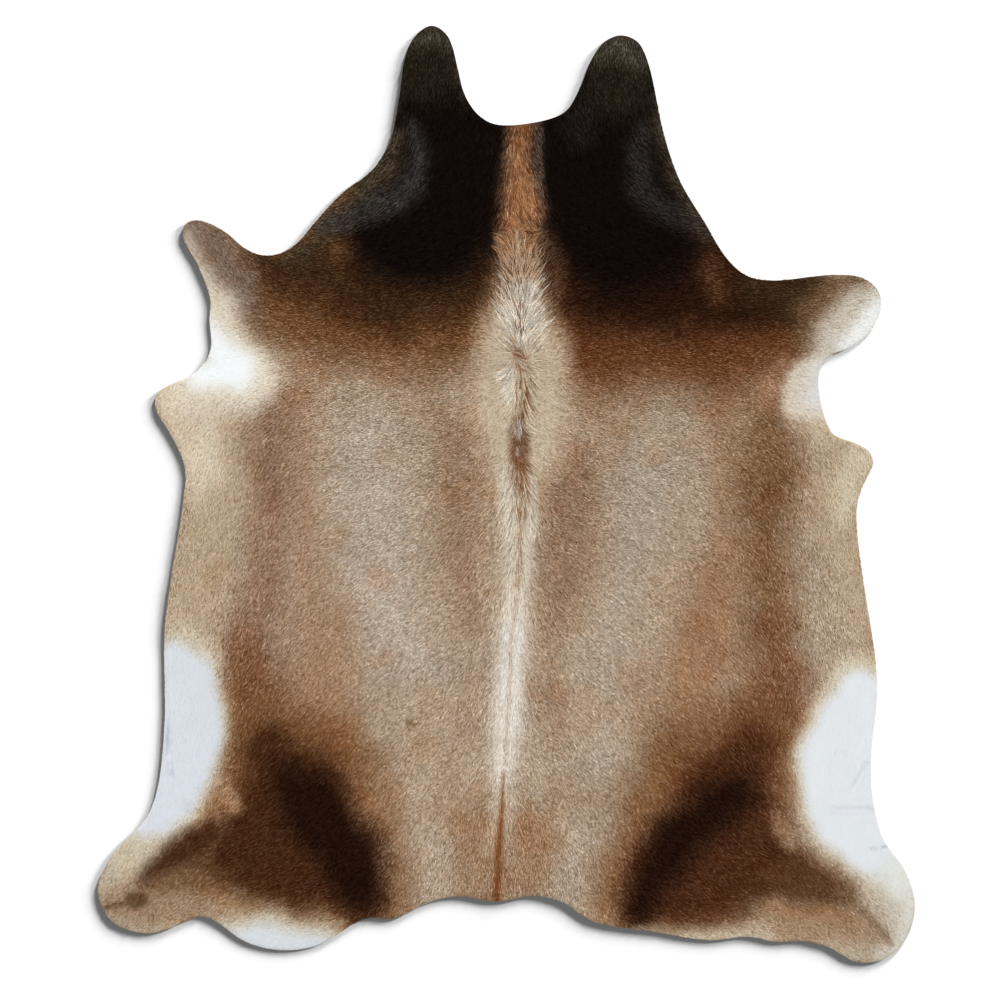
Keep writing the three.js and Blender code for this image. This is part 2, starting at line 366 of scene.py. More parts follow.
# Brushed markings, laid over each other from first to last
MARKINGS = [
    # Body
    Mark("left pale core", "pale taupe", 130, 0.85, [
        (-330, 120, 60), (-300, -50, 80), (-290, -200, 70), (-250, -330, 56), (-185, -420, 36),
    ]),
    Mark("right pale core", "grey taupe", 120, 0.9, [
        (345, 110, 60), (305, -60, 60), (290, -170, 38), (230, -320, 46), (205, -440, 42),
        (200, -560, 40),
    ]),
    Mark("left pale rump", "grey taupe", 90, 0.3, [(-170, -600, 40), (-165, -760, 35), (-165, -900, 45)]),
    Mark("right pale rump", "grey taupe", 90, 0.6, [
        (195, -600, 40), (195, -720, 45), (190, -820, 35), (130, -890, 40),
    ]),
    Mark("right rump edge", "dun", 70, 0.85, [(212, -948, 26)]),
    Mark("left rump warm", "dun", 110, 0.4, [(-135, -630, 20), (-145, -730, 40)]),
    Mark("right rump warm", "dun", 110, 0.4, [(135, -690, 26), (290, -735, 40)]),
    Mark("left tail side", "dun", 80, 0.7, [(-60, -690, 15), (-68, -800, 55), (-60, -900, 60)]),
    Mark("right tail side", "dun", 80, 0.75, [(45, -720, 15), (58, -820, 50), (40, -885, 38)]),
    Mark("left warm back", "left warm", 100, 0.9, [
        (-140, 130, 30), (-120, 20, 50), (-100, -90, 50), (-95, -200, 40), (-80, -300, 20),
    ]),
    Mark("left upper warm", "left warm", 100, 0.8, [(-130, 310, 30), (-180, 275, 44), (-250, 270, 36)]),
    Mark("right warm back", "right warm", 100, 0.9, [
        (150, 70, 35), (145, -40, 62), (138, -130, 66), (118, -240, 46), (100, -330, 18),
    ]),
    Mark("left lower back", "left warm", 100, 0.4, [(-95, -420, 14), (-105, -560, 18)]),
    Mark("right lower back", "right warm", 100, 0.55, [(105, -390, 14), (112, -560, 20)]),
    Mark("left side", "left side", 120, 0.85, [
        (-468, 262, 30), (-470, 120, 22), (-458, -50, 8), (-450, -160, 26), (-440, -280, 60),
        (-428, -400, 84), (-400, -500, 56),
    ]),
    Mark("left lower side", "dun", 110, 0.5, [(-450, -400, 40), (-465, -510, 50)]),
    Mark("right side", "right side", 130, 0.9, [
        (500, 205, 32), (505, 60, 12), (510, -60, 6), (485, -200, 60), (465, -340, 84), (400, -470, 62),
    ]),
    Mark("right lower warm", "right side", 110, 0.5, [(300, -410, 16), (305, -530, 30)]),
    Mark("right upper warm", "right side", 120, 0.6, [(180, 215, 40), (230, 170, 24)]),
    Mark("left band", "left band", 110, 0.95, [
        (-545, 270, 20), (-536, 150, 42), (-532, 20, 38), (-540, -120, 34), (-565, -250, 48),
        (-592, -360, 62),
    ]),
    Mark("left low band", "low band", 110, 1, [(-600, -370, 45), (-585, -470, 86), (-570, -550, 94)]),
    Mark("right band", "right band", 120, 0.95, [
        (606, 200, 40), (602, 60, 76), (594, -60, 54), (600, -160, 46), (605, -290, 42),
    ]),
    Mark("right low band", "low band", 110, 0.9, [(610, -310, 38), (615, -420, 64), (600, -520, 82)]),
    Mark("left flank", "tan", 90, 0.95, [
        (-700, 150, 75), (-670, 20, 66), (-684, -90, 64), (-715, -260, 56),
    ]),
    Mark("left flank edge", "left flank pale", 80, 0.9, [
        (-780, 210, 40), (-720, 140, 70), (-700, 60, 52), (-705, 0, 20),
    ]),
    Mark("right flank", "right flank tan", 90, 0.95, [
        (800, 80, 85), (770, -60, 66), (792, -180, 46), (828, -300, 34), (826, -390, 42),
    ]),
    Mark("right elbow", "pale tan", 60, 0.85, [(815, 85, 35), (780, 20, 30), (772, -50, 22)]),
    # Shoulders
    Mark("left shoulder", "left brown", 140, 1, [
        (-560, 485, 112), (-420, 452, 146), (-250, 444, 150), (-110, 440, 150),
    ]),
    Mark("right shoulder", "right brown", 160, 1, [
        (150, 430, 196), (320, 434, 180), (490, 418, 184), (610, 400, 130),
    ]),
    Mark("left upper shoulder", "left dark", 120, 1, [
        (-490, 560, 90), (-410, 552, 120), (-260, 524, 156), (-100, 556, 142),
    ]),
    Mark("right upper shoulder", "right dark", 120, 1, [
        (130, 580, 150), (280, 530, 154), (440, 512, 140), (600, 476, 100), (660, 450, 70),
    ]),
    # Forelegs and armpits
    Mark("left foreleg", "leg brown", 80, 0.95, [
        (-710, 620, 50), (-670, 555, 68), (-625, 500, 56), (-605, 450, 40),
    ]),
    Mark("left foreleg root", "left dark", 70, 0.5, [(-545, 505, 10), (-510, 480, 26), (-495, 460, 26)]),
    Mark("left armpit cream", "cream", 70, 0.95, [
        (-730, 590, 5), (-716, 540, 14), (-700, 490, 32), (-672, 430, 54), (-660, 370, 54),
        (-625, 310, 66), (-592, 262, 72), (-740, 240, 50),
    ]),
    Mark("left armpit", "armpit white", 60, 1, [
        (-696, 405, 12), (-680, 370, 24), (-662, 330, 38), (-622, 288, 50), (-700, 275, 34),
    ]),
    Mark("right foreleg", "olive brown", 90, 0.9, [(580, 485, 48), (660, 450, 50), (700, 456, 44)]),
    Mark("right foreleg tip", "leg tan", 80, 0.9, [
        (815, 504, 34), (772, 468, 46), (715, 412, 46), (690, 365, 25),
    ]),
    Mark("right foreleg cream", "grey cream", 60, 0.95, [
        (858, 456, 34), (815, 414, 60), (756, 372, 50), (724, 312, 32),
    ]),
    Mark("right foreleg white", "armpit white", 44, 0.8, [(866, 432, 22), (838, 395, 34), (785, 345, 26)]),
    Mark("right armpit shade", "pale tan", 70, 0.75, [(672, 190, 26), (725, 150, 30)]),
    Mark("right armpit cream", "armpit cream", 34, 0.95, [
        (716, 302, 16), (690, 258, 50), (684, 222, 54), (716, 200, 40),
    ]),
    Mark("right armpit tan", "armpit tan", 60, 0.8, [(628, 290, 16), (602, 248, 24), (602, 210, 20)]),
    Mark("right armpit", "white", 50, 0.8, [(722, 285, 22), (718, 220, 28)]),
    # Neck and ears
    Mark("left neck", "neck", 110, 1, [
        (-175, 900, 100), (-170, 760, 170), (-200, 650, 180), (-210, 600, 120),
    ]),
    Mark("right neck", "neck", 110, 1, [
        (260, 900, 150), (240, 760, 180), (270, 640, 175), (280, 600, 120),
    ]),
    Mark("nape", "neck", 90, 1, [(-60, 850, 60), (40, 860, 60), (130, 850, 60)]),
    Mark("middle neck", "neck", 90, 1, [(32, 870, 80), (32, 760, 95), (32, 640, 100)]),
    Mark("left neck edge", "neck edge", 60, 0.85, [
        (-262, 830, 8), (-300, 745, 12), (-360, 690, 20), (-430, 620, 40), (-490, 570, 40),
    ]),
    Mark("left neck side", "neck edge", 60, 0.8, [(-250, 810, 12), (-268, 740, 26), (-330, 695, 24)]),
    Mark("left shoulder edge", "left brown", 44, 0.85, [
        (-360, 700, 5), (-400, 660, 12), (-445, 612, 18), (-520, 560, 14),
    ]),
    Mark("left shoulder patch", "left brown", 70, 0.65, [(-380, 556, 25)]),
    Mark("right shoulder patch", "left brown", 80, 0.65, [(470, 522, 26), (490, 460, 18)]),
    Mark("right neck edge", "neck edge", 50, 0.8, [
        (345, 900, 12), (360, 830, 18), (385, 730, 18), (420, 670, 14), (465, 600, 22),
    ]),
    Mark("left ear", "ear", 90, 1, [(-175, 1060, 90), (-185, 980, 80)]),
    Mark("right ear", "ear", 90, 1, [(262, 1040, 90), (260, 950, 90)]),
    Mark("left ear tip", "ear tip", 60, 0.7, [(-205, 1040, 15), (-170, 1060, 20), (-140, 1035, 12)]),
    Mark("right ear tip", "ear tip", 70, 0.8, [(215, 1010, 22), (262, 1030, 30), (295, 990, 22)]),
    # Painted sheen: grey bands where light glosses the dark hair of the neck
    Mark("left neck sheen", "sheen", 50, 0.7, [
        (-222, 850, 10), (-198, 785, 20), (-206, 715, 26), (-246, 676, 30), (-310, 652, 32),
        (-364, 634, 28), (-420, 618, 20),
    ]),
    Mark("right neck sheen", "sheen", 50, 0.5, [
        (312, 836, 20), (304, 772, 28), (308, 706, 32), (342, 662, 30), (402, 630, 24), (446, 604, 16),
    ]),
    Mark("right inner sheen", "sheen", 70, 0.25, [(165, 868, 35), (170, 820, 30)]),
    # Hips and hind legs
    Mark("left hip edge", "hip brown", 130, 0.95, [
        (-560, -570, 105), (-470, -680, 190), (-430, -800, 176), (-360, -900, 136),
    ]),
    Mark("right hip edge", "hip brown", 130, 0.95, [
        (580, -570, 105), (475, -690, 190), (440, -800, 182), (380, -900, 170),
    ]),
    Mark("left hip broad", "red brown", 80, 1, [
        (-540, -596, 60), (-480, -700, 122), (-560, -815, 124), (-570, -845, 90), (-420, -860, 95),
        (-340, -930, 55),
    ]),
    Mark("right hip broad", "right red brown", 90, 1, [
        (565, -590, 62), (490, -705, 110), (565, -825, 98), (630, -855, 66), (400, -880, 112),
        (320, -940, 56),
    ]),
    Mark("left hip", "hip", 90, 1, [
        (-490, -660, 42), (-452, -710, 74), (-405, -775, 76), (-350, -850, 70), (-335, -910, 52),
    ]),
    Mark("left thigh brown", "thigh brown", 70, 0.9, [(-704, -852, 38), (-660, -880, 30)]),
    Mark("left thigh dark", "red brown", 70, 0.7, [(-600, -790, 32), (-648, -812, 26)]),
    Mark("left shank", "shank brown", 60, 0.9, [(-700, -900, 26), (-760, -885, 36), (-810, -898, 30)]),
    Mark("right hip", "hip", 90, 1, [
        (530, -690, 40), (470, -730, 55), (400, -790, 60), (360, -850, 50), (325, -900, 40),
        (310, -950, 36),
    ]),
    Mark("left hind leg", "left hind tan", 60, 0.95, [
        (-890, -938, 40), (-810, -972, 46), (-720, -975, 44), (-640, -970, 24),
    ]),
    Mark("right hind leg", "hind tan", 60, 0.95, [
        (620, -1006, 22), (700, -1008, 34), (790, -1024, 52), (860, -1045, 38),
    ]),
    Mark("right thigh brown", "thigh tan", 60, 0.85, [(600, -955, 18), (740, -960, 24), (800, -985, 8)]),
    Mark("right hind toe", "hind cream", 60, 0.75, [(735, -1048, 14), (790, -1062, 28), (845, -1064, 24)]),
    Mark("left hip light", "light orange", 36, 0.9, [(-655, -655, 10), (-636, -700, 19), (-622, -718, 15)]),
    Mark("right hip light", "light orange", 46, 0.62, [(616, -738, 9), (630, -765, 15), (650, -797, 15)]),
    Mark("left thigh tan", "thigh tan", 60, 0.65, [(-645, -934, 22), (-570, -948, 16)]),
    Mark("left thigh cream", "pale tan", 60, 0.8, [
        (-680, -985, 10), (-600, -990, 36), (-500, -1002, 34), (-400, -1012, 28),
    ]),
    Mark("left thigh", "left white", 50, 0.95, [
        (-640, -1015, 18), (-570, -1026, 44), (-480, -1037, 40), (-420, -1032, 22),
    ]),
    Mark("right thigh cream", "pale tan", 50, 0.9, [
        (300, -1004, 6), (380, -1014, 12), (430, -1018, 18), (520, -1014, 22), (600, -1016, 8),
    ]),
    Mark("left hind tip", "hind cream", 60, 0.75, [(-935, -888, 20), (-900, -848, 32), (-850, -818, 26)]),
    Mark("left hind rim", "grey taupe", 40, 0.8, [
        (-930, -960, 6), (-895, -988, 16), (-820, -1005, 14), (-760, -992, 4),
    ]),
    Mark("left hind spot", "spot brown", 20, 0.85, [(-857, -932, 19), (-840, -930, 19)]),
    Mark("left hind fleck", "spot brown", 14, 0.7, [(-914, -946, 7), (-880, -938, 5)]),
    # Painted shade: a faint dark line along the crease of the left hind leg
    Mark("left hind crease", "orange brown", 10, 0.5, [(-706, -862, 1), (-704, -905, 2), (-698, -958, 2)]),
    Mark("left groin", "dun", 70, 0.9, [(-650, -690, 30), (-690, -750, 34), (-700, -780, 30)]),
    # White flanks
    Mark("left white rim", "pale tan", 60, 0.9, [
        (-745, -340, 42), (-715, -390, 58), (-725, -470, 82), (-725, -545, 88), (-745, -630, 84),
        (-775, -700, 76), (-815, -755, 66), (-862, -815, 54),
    ]),
    Mark("left white flank", "left white", 44, 1, [
        (-765, -380, 40), (-730, -430, 62), (-730, -500, 74), (-727, -560, 76), (-745, -630, 72),
        (-778, -690, 64), (-806, -735, 50), (-832, -756, 34),
    ]),
    Mark("right white rim", "pale tan", 46, 0.9, [
        (812, -438, 76), (802, -540, 120), (791, -600, 132), (795, -645, 136), (800, -690, 132),
        (815, -730, 126), (844, -780, 106), (884, -840, 84),
    ]),
    Mark("right white flank", "white", 44, 1, [
        (818, -462, 60), (802, -540, 98), (791, -600, 114), (795, -645, 119), (800, -690, 116),
        (815, -730, 110), (844, -780, 92), (888, -835, 74),
    ]),
    Mark("right hind tip", "hind cream", 80, 0.9, [(858, -908, 30), (880, -958, 34), (895, -1010, 20)]),
    Mark("right hind edge", "right tip white", 70, 0.9, [
        (915, -870, 50), (928, -940, 36), (915, -1020, 16), (860, -1066, 8),
    ]),
    Mark("left hind streak", "streak brown", 50, 1, [
        (-680, -775, 28), (-712, -796, 34), (-752, -820, 34), (-798, -853, 20), (-835, -880, 8),
    ]),
    Mark("right hind streak", "thigh brown", 56, 0.95, [
        (610, -880, 28), (670, -884, 50), (728, -902, 44), (775, -920, 26),
    ]),
    Mark("right streak end", "leg tan", 26, 0.8, [
        (768, -912, 14), (812, -954, 9), (845, -987, 7), (882, -1028, 4),
    ]),
    # Spine
    Mark("neck strip", "orange brown", 54, 0.95, [
        (36, 860, 20), (32, 800, 26), (31, 740, 36), (33, 690, 46), (33, 640, 50), (33, 595, 48),
    ]),
    Mark("upper neck strip", "strip brown", 50, 0.9, [(36, 865, 26), (33, 825, 22)]),
    Mark("lower neck strip", "strip tan", 50, 0.55, [(33, 705, 22), (33, 640, 26)]),
    # Painted sheen: a grey band where light glosses the hair right of the neck strip
    Mark("neck strip sheen", "sheen grey", 18, 0.7, [(74, 860, 9), (74, 760, 10), (78, 700, 7), (82, 660, 3)]),
    Mark("neck pale spot", "fan tan", 24, 0.75, [(12, 788, 7), (30, 768, 7)]),
    Mark("fan flank", "orange brown", 60, 0.4, [(95, 590, 14), (112, 530, 18), (118, 470, 14)]),
    Mark("fan edge", "fan tan", 80, 0.85, [
        (30, 565, 40), (30, 480, 56), (30, 400, 82), (34, 320, 108), (38, 220, 128), (36, 120, 110),
        (30, 30, 70),
    ]),
    Mark("fan", "root brown", 34, 0.9, [(30, 585, 22), (34, 500, 30), (36, 420, 24), (34, 340, 16)]),
    Mark("fan silver", "silver", 34, 0.6, [(58, 476, 6), (66, 425, 15), (60, 375, 8)]),
    Mark("halo", "halo", 90, 0.9, [
        (30, 440, 34), (28, 410, 54), (31, 370, 80), (34, 300, 106), (38, 200, 116), (36, 110, 90),
        (30, 20, 54), (26, -60, 25),
    ]),
    Mark("parting", "part brown", 26, 0.9, [
        (31, 190, 10), (29, 140, 21), (27, 90, 22), (26, 40, 15), (26, 0, 8),
    ]),
    Mark("first whorl", "whorl brown", 26, 0.9, [(14, 352, 4), (23, 328, 10), (33, 306, 14), (46, 282, 9)]),
    Mark("whorl centre", "part grey", 8, 0.6, [(30, 309, 4), (34, 304, 3)]),
    Mark("brown centre", "whorl brown", 24, 0.75, [(27, 75, 14), (31, 40, 11), (34, 0, 8), (34, -40, 3)]),
    Mark("stripe edge", "pale stripe", 50, 0.75, [
        (6, 60, 10), (14, 0, 30), (22, -60, 38), (22, -160, 38), (16, -280, 40), (10, -400, 46),
        (2, -520, 50), (-4, -620, 42), (-8, -700, 26), (-12, -760, 8),
    ]),
    Mark("left stripe flank", "stripe cream", 30, 0.95, [
        (-14, 64, 5), (-4, 10, 11), (3, -50, 13), (8, -120, 13), (8, -210, 15), (6, -310, 18),
    ]),
    Mark("right stripe flank", "stripe cream", 26, 0.9, [
        (54, 40, 4), (62, -10, 9), (54, -70, 9), (47, -140, 9), (38, -210, 11), (30, -310, 14),
    ]),
    Mark("stripe", "stripe", 46, 0.95, [
        (18, -270, 6), (14, -330, 22), (10, -400, 30), (4, -460, 31), (1, -520, 29), (-2, -580, 24),
        (-4, -625, 18), (-8, -660, 7),
    ]),
    Mark("stripe line", "dun", 12, 0.4, [
        (22, -240, 3), (17, -290, 4), (10, -345, 4), (9, -400, 4), (6, -450, 3.5), (1, -520, 3.5),
        (-1, -580, 4), (-3, -625, 4),
    ]),
    Mark("withers line", "orange brown", 14, 0.5, [
        (33, -40, 5), (31, -100, 4), (29, -165, 5), (24, -210, 2),
    ]),
    Mark("left tail flank", "pale stripe", 30, 0.65, [(-34, -700, 8), (-34, -760, 10), (-46, -820, 14)]),
    Mark("right tail flank", "pale stripe", 24, 0.45, [(9, -700, 9), (5, -770, 9), (5, -830, 6)]),
    Mark("tail line", "tail brown", 12, 0.95, [
        (-5, -635, 1), (-9, -690, 3), (-11, -740, 5), (-13, -780, 6), (-19, -830, 7), (-20, -880, 7.5),
        (-22, -930, 8),
    ]),
    Mark("meeting tuft", "tuft brown", 10, 0.9, [(44, 604, 2), (53, 597, 5), (60, 586, 3)]),
    Mark("whorl gap", "root brown", 24, 0.8, [(38, 280, 8), (42, 230, 16), (36, 175, 12)]),
    # Painted highlights: bluish grey lines where light catches the hair of the parting
    Mark("upper parting highlight", "part grey", 5, 0.9, [(30, 168, 2), (28, 128, 3)]),
    Mark("lower parting highlight", "part grey", 5, 0.9, [(26, 106, 3), (25, 90, 2)]),
    # Small spots
    Mark("left mole", "left brown", 16, 0.7, [(-222, -525, 7), (-214, -530, 5)]),
    Mark("left orange spot", "orange brown", 40, 0.4, [(-256, 287, 10)]),
    Mark("right orange spot", "orange brown", 40, 0.4, [(354, 275, 10)]),
    # Painted shade: grey lines and patches along the skin's creases, its hollow and its nick, where they
    # lie in shade
    Mark("left flank crease", "crease shadow line", 10, 0.6, [
        (-768, -500, 2.5), (-778, -560, 2.5), (-776, -600, 2), (-766, -645, 1.5),
    ]),
    Mark("left flank hollow", "crease shade grey", 30, 0.5, [(-734, -715, 8)]),
    Mark("right flank crease", "crease shade grey", 12, 0.5, [(828, -620, 3), (796, -680, 3)]),
    Mark("right groin crease", "crease shade grey", 18, 0.45, [(750, -725, 4), (852, -725, 4)]),
    Mark("right nick", "crease shadow line", 8, 0.8, [(834, -812, 1), (850, -812, 1.5), (878, -808, 1.5)]),
]

# How the hair lies
COMBING = [
    Comb("ear", 180, 1000, -85, 90, 11),
    Comb("neck", 170, 780, -70, 100, 15),
    Comb("low neck", 220, 620, -30, 110, 15),
    Comb("neck side", 360, 620, -25, 90, 13),
    Comb("shoulder", 200, 440, 0, 100, 11),
    Comb("outer shoulder", 450, 440, 8, 110, 11),
    Comb("foreleg", 700, 560, 48, 90, 9, "left"),
    Comb("foreleg", 760, 430, 8, 90, 9, "right"),
    Comb("armpit", 660, 300, -10, 70, 8),
    Comb("forequarter", 300, 280, -5, 110, 9),
    Comb("outer forequarter", 520, 260, -20, 90, 9.5),
    Comb("upper side", 300, 120, -18, 110, 9),
    Comb("side", 300, -60, -30, 110, 9),
    Comb("lower side", 300, -250, -38, 110, 9),
    Comb("loin", 300, -450, -45, 110, 9),
    Comb("croup", 280, -650, -52, 110, 9.5),
    Comb("upper band", 560, 60, -48, 80, 10),
    Comb("band", 580, -200, -56, 90, 10),
    Comb("lower band", 600, -420, -55, 90, 11),
    Comb("elbow", 720, 160, -60, 70, 9.5),
    Comb("flank", 720, -20, -80, 80, 10),
    Comb("lower flank", 740, -240, -82, 90, 10),
    Comb("white flank", 760, -520, -85, 110, 8),
    Comb("groin", 800, -720, -70, 90, 8),
    Comb("hip", 480, -640, -48, 90, 13),
    Comb("thigh", 520, -830, -30, 110, 13),
    Comb("hind leg", 780, -900, -42, 110, 9),
    Comb("lower thigh", 520, -1000, -25, 70, 9),
    Comb("rump", 190, -820, -64, 80, 9.5),
    Comb("tail side", 60, -800, -78, 60, 11),
    Comb("tail", 10, -850, -88, 40, 12),
    Comb("back", 80, -450, -58, 50, 11),
    Comb("upper back", 90, -150, -48, 50, 11),
    Comb("stripe", 14, -480, -84, 36, 17),
    Comb("upper stripe", 14, -250, -81, 36, 17),
    Comb("withers", 14, -60, -76, 32, 17),
    Comb("neck strip", 10, 850, -88, 40, 15),
    Comb("low neck strip", 12, 680, -86, 40, 15),
    Comb("neck strip side", 55, 680, -62, 34, 14),
    Comb("fan tip", 10, 560, 84, 26, 15),
    Comb("fan tip side", 60, 540, 72, 34, 13),
    Comb("fan", 12, 460, 82, 28, 16),
    Comb("fan side", 70, 450, 66, 36, 12),
    Comb("fan root", 12, 370, 74, 24, 15),
    Comb("fan root side", 70, 360, 48, 34, 12),
    Comb("first whorl side", 70, 290, -8, 30, 11),
    Comb("below first whorl", 12, 260, -66, 22, 14),
    Comb("mid parting", 12, 200, -74, 22, 14),
    Comb("mid parting side", 70, 190, -42, 34, 11),
    Comb("parting", 12, 120, -14, 22, 13),
    Comb("parting side", 70, 90, -40, 34, 11),
    Comb("below second whorl", 12, 40, -66, 22, 13),
]

# Long strands along the spine
MANE = [
    Tuft("neck strip", "strip strand", 32, 715, 24, 110, 24, 170),
    Tuft("fan tip", "tip strand", 30, 552, 38, 32, 38, 130),
    Tuft("fan crown", "cream strand", 30, 540, 16, 36, 40, 50),
    Tuft("upper fan", "upper fan strand", 31, 500, 38, 36, 48, 170),
    Tuft("fan", "fan strand", 36, 420, 46, 54, 46, 250),
    Tuft("fan root", "fan strand", 40, 366, 42, 34, 34, 120),
    Tuft("first whorl", "halo strand", 34, 316, 46, 36, 26, 100),
    Tuft("below first whorl", "cream strand", 28, 245, 32, 44, 44, 150),
    Tuft("left of the first whorl", "fan strand", 12, 268, 14, 32, 42, 70),
    Tuft("parting", "halo strand", 32, 188, 28, 32, 34, 60),
    Tuft("left of the parting", "cream strand", -4, 15, 12, 60, 30, 60),
    Tuft("right of the parting", "cream strand", 60, 5, 12, 55, 28, 45),
    Tuft("below second whorl", "whorl strand", 33, 20, 20, 62, 34, 80),
    Tuft("second whorl cream", "cream strand", 32, 0, 30, 60, 34, 80),
    Tuft("withers", "cream strand", 25, -110, 30, 80, 30, 110),
    Tuft("left lobe", "tip strand", -4, 556, 16, 18, 36, 30),
    Tuft("strip gaps", "gap strand", 32, 705, 40, 110, 22, 150),
    Tuft("fan gaps", "gap strand", 32, 510, 46, 70, 42, 100),
    Tuft("fan root gaps", "gap strand", 31, 385, 16, 36, 38, 34),
    Tuft("whorl gaps", "whorl strand", 42, 236, 22, 38, 36, 54),
    Tuft("cream curl", "cream strand", 47, 170, 4, 24, 30, 9),
    Tuft("tuft", "tuft brown", 50, 596, 14, 5, 18, 26),
]

# Where the hair turns round a point instead of flowing past it
WHORLS = [
    Whorl("first whorl", 33, 310, 26, 60),
    Whorl("second whorl", 27, 80, 22, 45),
]

# The line that the hair parts along, from the nape to the tail
SPINE_LINE = [
    Stop("nape", 850, 26),
    Stop("neck", 700, 14),
    Stop("low neck", 640, 12),
    Stop("meeting of the coats", 585, 32),
    Stop("first whorl", 310, 33),
    Stop("second whorl", 80, 27),
    Stop("withers", -80, 27),
    Stop("back", -250, 20),
    Stop("loin", -450, 5),
    Stop("croup", -640, -5),
    Stop("tail root", -935, -25),
]

# Creases of the skin
CREASES = [
    Crease("left flank", 0.7, 7, [(-767, -505), (-778, -570), (-770, -640)]),
    Crease("left flank hollow", 0.4, 14, [(-745, -710), (-722, -720)]),
    Crease("left hind leg", 0.9, 8, [(-706, -862), (-704, -905), (-696, -962)]),
    Crease("right flank", 0.7, 9, [(828, -620), (796, -680)]),
    Crease("right groin", 0.6, 10, [(750, -725), (852, -725)]),
    Crease("right nick", 0.8, 4, [(850, -812), (876, -808)]),
]

# Coat pieces, from the neck down: each takes the locks that grow above its lower end
COAT_PIECES = [
    CoatPiece("coat_neck", 430),
    CoatPiece("coat_shoulders", 200),
    CoatPiece("coat_forequarters", -10),
    CoatPiece("coat_back", -215),
    CoatPiece("coat_loin", -420),
    CoatPiece("coat_croup", -610),
    CoatPiece("coat_hips", -800),
    CoatPiece("coat_hind_legs", -2000),
]


def smooth(share):
    """A smooth rise from 0 to 1 for shares from 0 to 1."""
    share = np.clip(share, 0.0, 1.0)
    return share * share * (3.0 - 2.0 * share)


def between(ends, share):
    """The value at a share of the way from the first end to the second."""
    return ends[0] + (ends[1] - ends[0]) * share


def to_linear(seen):
    """Linear light from colours as seen, from 0 to 1, by the usual curve of screens."""
    seen = np.clip(seen, 0.0, 1.0)
    return np.where(seen <= 0.04045, seen / 12.92, ((seen + 0.055) / 1.055) ** 2.4)


def to_seen(light):
    """Colours as seen, from 0 to 1, from linear light."""
    light = np.clip(light, 0.0, 1.0)
    return np.where(light <= 0.0031308, 12.92 * light, 1.055 * light ** (1 / 2.4) - 0.055)


def lighten(seen, factor):
    """Linear light of colours as seen, made lighter or darker by a factor of their light."""
    grey = seen.mean(axis=1)[:, None]
    change = to_seen(to_linear(grey) * factor[:, None]) - grey
    pale = np.clip(grey / PALE_COAT, 0.0, 1.0)
    shares = np.array(DARK_SHARES) * (1 - pale) + np.array(PALE_SHARES) * pale
    return to_linear(seen + change * shares)


def lattice_noise(x, y, cell, seed):
    """Smooth noise from -1 to 1 with the given cell size."""
    lattice = np.random.default_rng(SEED + seed).uniform(-1.0, 1.0, (LATTICE, LATTICE))
    u = x / cell
    v = y / cell
    column = np.floor(u).astype(int)
    row = np.floor(v).astype(int)
    across = smooth(u - column)
    up = smooth(v - row)
    left = column % LATTICE
    right = (column + 1) % LATTICE
    below = row % LATTICE
    above = (row + 1) % LATTICE
    low = lattice[below, left] * (1 - across) + lattice[below, right] * across
    high = lattice[above, left] * (1 - across) + lattice[above, right] * across
    return low * (1 - up) + high * up


def noise(x, y, waves):
    """The sum of some waves of smooth noise."""
    return sum(wave.amount * lattice_noise(x, y, wave.cell, wave.seed) for wave in waves)


class Field:
    """Values on an even grid over the hide, read between the grid's points."""

    def __init__(self, low, high):
        self.box = (low, high)
        self.low = np.array(low) - FIELD_MARGIN
        span = np.array(high) + FIELD_MARGIN - self.low
        self.columns, self.rows = np.ceil(span / FIELD_STEP).astype(int) + 1
        self.x = self.low[0] + FIELD_STEP * np.arange(self.columns)
        self.y = self.low[1] + FIELD_STEP * np.arange(self.rows)
        self.values = np.zeros((self.rows, self.columns))

    def __call__(self, x, y):
        u = np.clip((x - self.low[0]) / FIELD_STEP, 0, self.columns - LAST_CELL)
        v = np.clip((y - self.low[1]) / FIELD_STEP, 0, self.rows - LAST_CELL)
        column = u.astype(int)
        row = v.astype(int)
        across = u - column
        up = v - row
        below = self.values[row, column] * (1 - across) + self.values[row, column + 1] * across
        above = self.values[row + 1, column] * (1 - across) + self.values[row + 1, column + 1] * across
        return below * (1 - up) + above * up


def distance_to_path(x, y, path):
    """How far places are past the half width of a line of points, each with x, y and half width."""
    if len(path) == 1:
        ax, ay, a_width = path[0]
        return np.hypot(x - ax, y - ay) - a_width
    nearest = np.full(x.shape, np.inf)
    for (ax, ay, a_width), (bx, by, b_width) in zip(path, path[1:]):
        dx = bx - ax
        dy = by - ay
        share = np.clip(((x - ax) * dx + (y - ay) * dy) / (dx * dx + dy * dy), 0.0, 1.0)
        width = a_width + share * (b_width - a_width)
        gap = np.hypot(x - ax - share * dx, y - ay - share * dy) - width
        nearest = np.minimum(nearest, gap)
    return nearest


